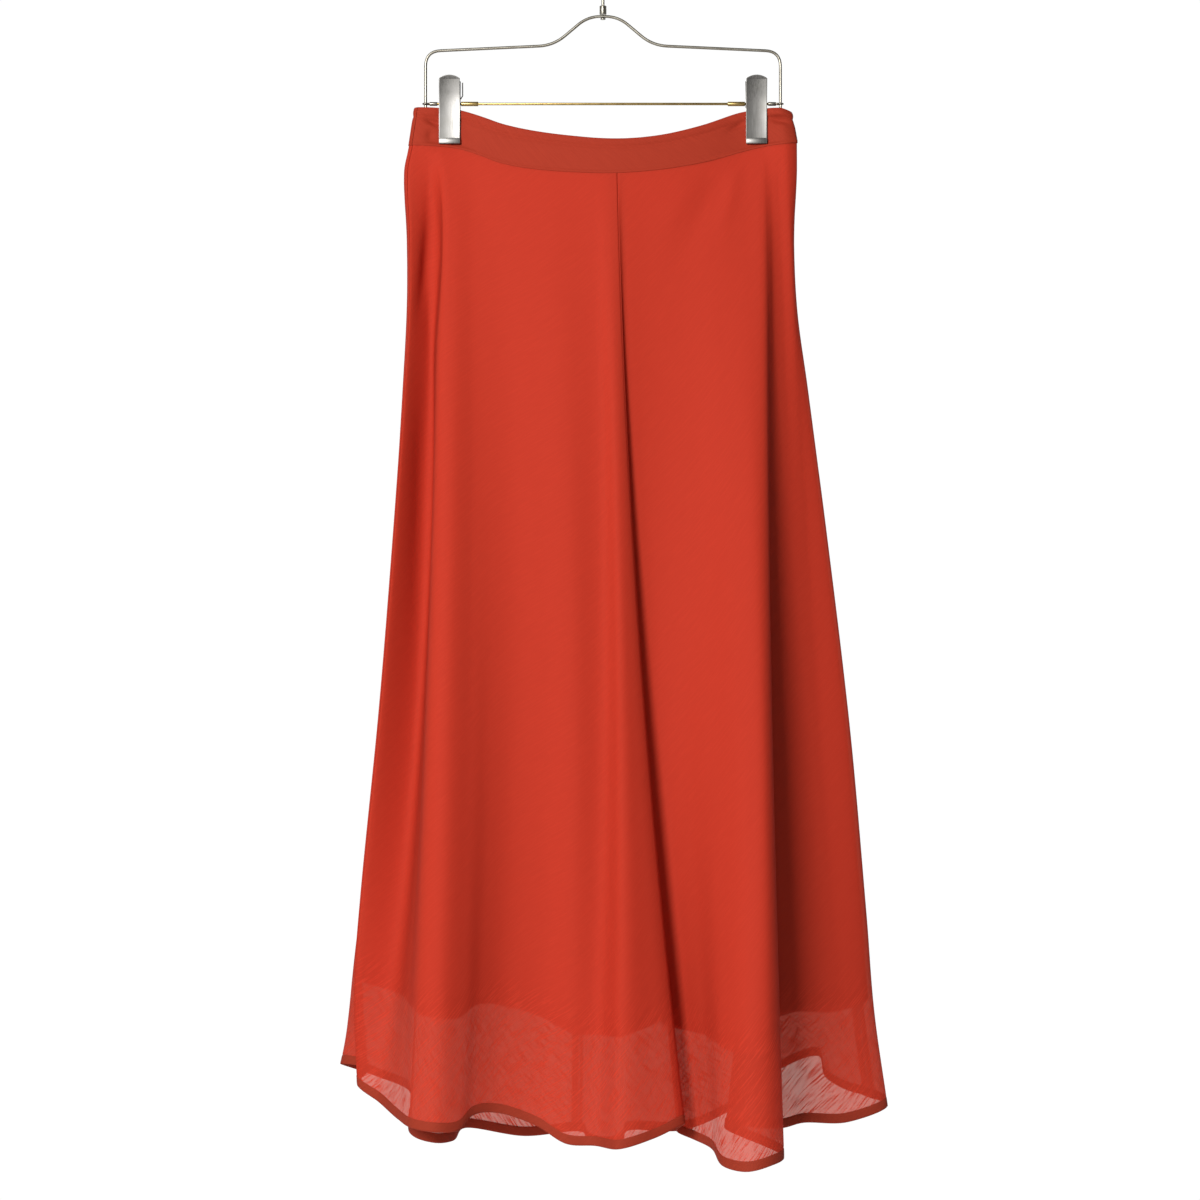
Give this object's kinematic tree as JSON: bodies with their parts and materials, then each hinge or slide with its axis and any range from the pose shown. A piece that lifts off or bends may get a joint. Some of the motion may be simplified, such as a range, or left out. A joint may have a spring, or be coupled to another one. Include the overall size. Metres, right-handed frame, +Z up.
{
  "type": "maxi skirt on a clip hanger",
  "caption": "Long flared skirt of slightly sheer crepe over a lining, held by its waistband in the two clips of a wire hanger.",
  "frame": {"origin": "top of the inside of the hanger's hook, where a rail carries it", "axes": "+Z up, -Y the way the skirt's front faces, +X to the right as seen from the front"},
  "size_m": [0.5212, 0.2508, 1.1323],
  "materials": {
    "crepe": "slightly sheer red-orange crepe with a fine slub, soft and matt",
    "lining": "plain woven lining, opaque, with a low sheen",
    "zip_tape": "narrow woven zip tape in the skirt's colour",
    "zip_metal": "lacquered metal in the skirt's colour",
    "steel": "satin nickel plate on steel",
    "brass_tone": "plated steel with a warm yellow tone",
    "jaw_pad": "off-white soft vinyl pad"
  },
  "bodies": {
    "skirt": {"waistband_front": "crepe", "waistband_back_left": "crepe", "waistband_back_right": "crepe", "front_gore_left": "crepe", "front_gore_right": "crepe", "back_gore_left": "crepe", "back_gore_right": "crepe", "lining_front": "lining", "lining_back_left": "lining", "lining_back_right": "lining", "zip_strip": "zip_tape", "zip_slider": "zip_metal", "hanger_frame": "steel", "hanger_bar": "brass_tone", "hanger_hook": "steel", "hanger_collar": "steel", "hanger_rivet": "steel", "clip_left_front_plate": "steel", "clip_left_back_plate": "steel", "clip_left_front_pad": "jaw_pad", "clip_left_back_pad": "jaw_pad", "clip_left_spring": "steel", "clip_left_sleeve": "brass_tone", "clip_right_front_plate": "steel", "clip_right_back_plate": "steel", "clip_right_front_pad": "jaw_pad", "clip_right_back_pad": "jaw_pad", "clip_right_spring": "steel", "clip_right_sleeve": "brass_tone"},
    "zip_pull": {"zip_pull": "zip_metal"}
  },
  "joints": [
    {"name": "zip_pull_swing", "type": "hinge", "parent": "skirt", "child": "zip_pull", "pos_m": [-0.01266, 0.02038, -0.19101], "axis": [1, 0, 0], "range_deg": [0, 150]}
  ]
}
